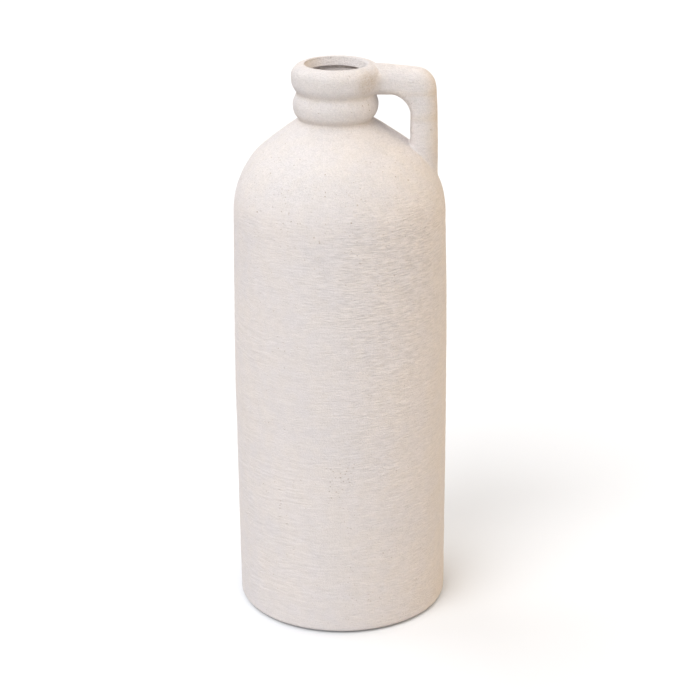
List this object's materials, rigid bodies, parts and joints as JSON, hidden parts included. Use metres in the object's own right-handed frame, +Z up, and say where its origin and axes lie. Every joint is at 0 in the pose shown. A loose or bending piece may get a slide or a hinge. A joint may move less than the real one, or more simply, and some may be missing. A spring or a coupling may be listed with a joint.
{
  "type": "bottle vase",
  "caption": "Tall stoneware bottle vase with a near-straight body, rounded shoulder, double-rolled neck, rounded lip and one squared side handle, for dry or cut stems.",
  "frame": {"origin": "on the floor under the axis of the body", "axes": "+Z up along the body's axis, +X towards the handle, +Y to the back with the handle on the right"},
  "size_m": [0.172, 0.172, 0.45],
  "materials": {
    "sand_ceramic": "matte, sandy, unglazed, finely combed round the body",
    "felt": "matte felt"
  },
  "bodies": {
    "root": {"base_slab": "sand_ceramic", "body_wall": "sand_ceramic", "shoulder_dome": "sand_ceramic", "neck_ring": "sand_ceramic", "mouth_ring": "sand_ceramic", "handle": "sand_ceramic", "felt_pad_1": "felt", "felt_pad_2": "felt", "felt_pad_3": "felt", "felt_pad_4": "felt"}
  },
  "joints": []
}
